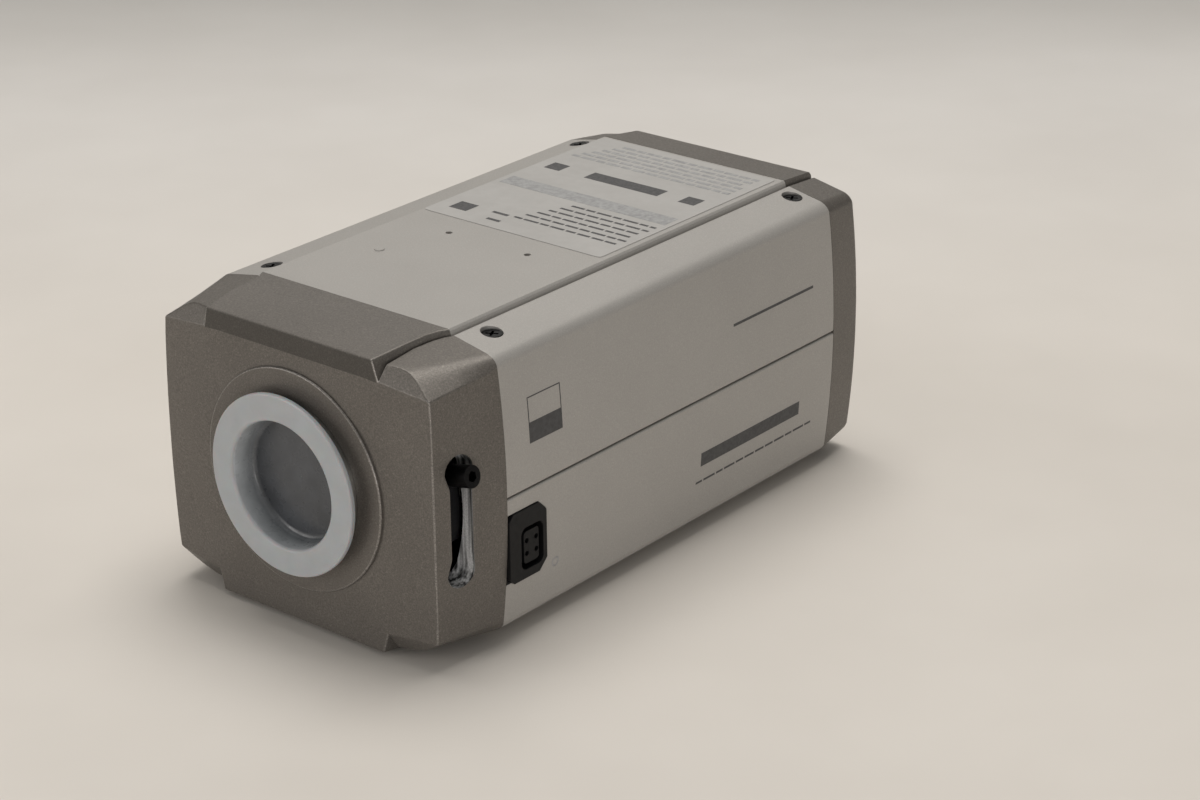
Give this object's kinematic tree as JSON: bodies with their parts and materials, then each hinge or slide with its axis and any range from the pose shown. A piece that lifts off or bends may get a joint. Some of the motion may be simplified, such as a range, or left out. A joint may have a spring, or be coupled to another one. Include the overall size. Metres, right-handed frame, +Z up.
{
  "type": "box camera",
  "caption": "Day/night box camera with a screw lens mount closed by a dust plug, a slotted back-focus ring, silver covers between taupe frames and a recessed rear socket panel.",
  "frame": {"origin": "centre of the tripod thread at its mouth, on the underside", "axes": "+Z up through the camera from the tripod thread, -Y the way the lens looks, +Y along the housing to the rear sockets, +X to the side with the focus slot and the lens socket"},
  "size_m": [0.0668, 0.1276, 0.0542],
  "materials": {
    "frame_paint": "fine metallic taupe paint, satin",
    "cover_paint": "silver-grey metallic paint, satin",
    "black_screw": "black oxide",
    "label_film": "silver-white label film",
    "brass": "turned",
    "cap_plastic": "translucent natural polyethylene",
    "ring_metal": "turned and plated",
    "black_anodised": "black anodised",
    "spring_steel": "rolled",
    "zinc_screw": "zinc plated",
    "black_plastic": "moulded",
    "infrared_glass": "coated glass",
    "clear_glass": "polished",
    "copper_coil": "enamelled copper wire",
    "steel": "ground",
    "gasket_rubber": "matt",
    "ceramic_package": "ceramic, matt",
    "green_board": "solder mask, satin",
    "blue_board": "solder mask, satin",
    "flat_cable": "polyimide film",
    "gold_contact": "gold plated",
    "white_plastic": "moulded",
    "capacitor_sleeve": "shrink sleeve",
    "panel_plastic": "fine spark texture",
    "nickel": "nickel plated",
    "socket_insulator": "fluoropolymer, waxy",
    "terminal_plastic": "moulded",
    "lamp_lens": "translucent",
    "button_plastic": "moulded",
    "trimmer_plastic": "moulded"
  },
  "bodies": {
    "root": {"front_bezel": "frame_paint", "rear_bezel": "frame_paint", "upper_cover": "cover_paint", "lower_cover": "cover_paint", "upper_cover_screws": "black_screw", "lower_cover_screws": "black_screw", "rating_label": "label_film", "tripod_insert": "brass", "lens_ring": "ring_metal", "lens_block": "black_anodised", "lens_block_screws": "zinc_screw", "friction_washer": "spring_steel", "filter_frame": "black_plastic", "filter_motor": "copper_coil", "filter_cover": "black_plastic", "guide_pins": "steel", "lens_jack": "black_plastic", "lens_jack_contacts": "gold_contact", "main_board": "green_board", "main_chips": "black_plastic", "board_connectors": "white_plastic", "board_studs": "brass", "board_screws": "zinc_screw", "power_board": "blue_board", "power_coils": "copper_coil", "power_capacitors": "capacitor_sleeve", "io_board": "green_board", "io_switches": "steel", "rear_panel": "panel_plastic", "rear_panel_screws": "zinc_screw", "bnc_shell": "nickel", "bnc_insulator": "socket_insulator", "bnc_contact": "gold_contact", "bnc_nut": "nickel", "power_terminal": "terminal_plastic", "power_lamp": "lamp_lens", "level_trimmer": "trimmer_plastic"},
    "dust_cap": {"dust_cap": "cap_plastic"},
    "focus_ring": {"focus_ring": "black_anodised"},
    "lock_screw": {"lock_screw": "black_screw"},
    "sensor_carriage": {"sensor_carriage": "black_plastic", "sensor_gasket": "gasket_rubber", "image_sensor": "ceramic_package", "sensor_window": "clear_glass", "sensor_board": "green_board", "sensor_board_screws": "zinc_screw", "ribbon_cable": "flat_cable"},
    "filter_slider": {"filter_slider": "black_plastic", "infrared_filter": "infrared_glass", "clear_filter": "clear_glass"},
    "filter_arm": {"filter_arm": "steel"},
    "menu_button_centre": {"menu_button_centre": "button_plastic"},
    "menu_button_up": {"menu_button_up": "button_plastic"},
    "menu_button_down": {"menu_button_down": "button_plastic"},
    "menu_button_left": {"menu_button_left": "button_plastic"},
    "menu_button_right": {"menu_button_right": "button_plastic"},
    "lens_switch_lever": {"lens_switch_lever": "white_plastic"},
    "level_rotor": {"level_rotor": "white_plastic"},
    "terminal_screw_left": {"terminal_screw_left": "zinc_screw"},
    "terminal_screw_right": {"terminal_screw_right": "zinc_screw"}
  },
  "joints": [
    {"name": "dust_cap_pull", "type": "slide", "parent": "root", "child": "dust_cap", "axis": [0, -1, 0], "range_m": [0, 0.015]},
    {"name": "focus_turn", "type": "hinge", "parent": "root", "child": "focus_ring", "pos_m": [0, -0.0392, 0.027], "axis": [0, 1, 0], "range_deg": [-2.5, 30]},
    {"name": "lock_screw_turn", "type": "hinge", "parent": "focus_ring", "child": "lock_screw", "pos_m": [0.02923, -0.0392, 0.03375], "axis": [0.9744, 0, 0.225], "range_deg": [0, 360]},
    {"name": "sensor_travel", "type": "slide", "parent": "root", "child": "sensor_carriage", "axis": [0, 1, 0], "range_m": [-0.00015, 0.00125]},
    {"name": "filter_change", "type": "slide", "parent": "root", "child": "filter_slider", "axis": [-1, 0, 0], "range_m": [0, 0.01]},
    {"name": "filter_arm_swing", "type": "hinge", "parent": "root", "child": "filter_arm", "pos_m": [0, -0.039, 0.041], "axis": [0, 1, 0], "range_deg": [0, 60]},
    {"name": "menu_centre_press", "type": "slide", "parent": "root", "child": "menu_button_centre", "axis": [0, -1, 0], "range_m": [0, 0.0004], "stiffness_N_per_m": 600},
    {"name": "menu_up_press", "type": "slide", "parent": "root", "child": "menu_button_up", "axis": [0, -1, 0], "range_m": [0, 0.0004], "stiffness_N_per_m": 600},
    {"name": "menu_down_press", "type": "slide", "parent": "root", "child": "menu_button_down", "axis": [0, -1, 0], "range_m": [0, 0.0004], "stiffness_N_per_m": 600},
    {"name": "menu_left_press", "type": "slide", "parent": "root", "child": "menu_button_left", "axis": [0, -1, 0], "range_m": [0, 0.0004], "stiffness_N_per_m": 600},
    {"name": "menu_right_press", "type": "slide", "parent": "root", "child": "menu_button_right", "axis": [0, -1, 0], "range_m": [0, 0.0004], "stiffness_N_per_m": 600},
    {"name": "lens_switch_slide", "type": "slide", "parent": "root", "child": "lens_switch_lever", "axis": [1, 0, 0], "range_m": [0, 0.003]},
    {"name": "level_turn", "type": "hinge", "parent": "root", "child": "level_rotor", "pos_m": [-0.017, 0.0661, 0.016], "axis": [0, 1, 0], "range_deg": [-135, 135]},
    {"name": "terminal_left_turn", "type": "hinge", "parent": "root", "child": "terminal_screw_left", "pos_m": [0.0096, 0.0661, 0.0202], "axis": [0, 1, 0], "range_deg": [0, 720]},
    {"name": "terminal_right_turn", "type": "hinge", "parent": "root", "child": "terminal_screw_right", "pos_m": [0.0164, 0.0661, 0.0202], "axis": [0, 1, 0], "range_deg": [0, 720]}
  ],
  "couplings": [
    {"joint": "sensor_travel", "follows": "focus_turn", "m_per_rad": 0.0023},
    {"joint": "filter_arm_swing", "follows": "filter_change", "rad_per_m": 104.7}
  ]
}
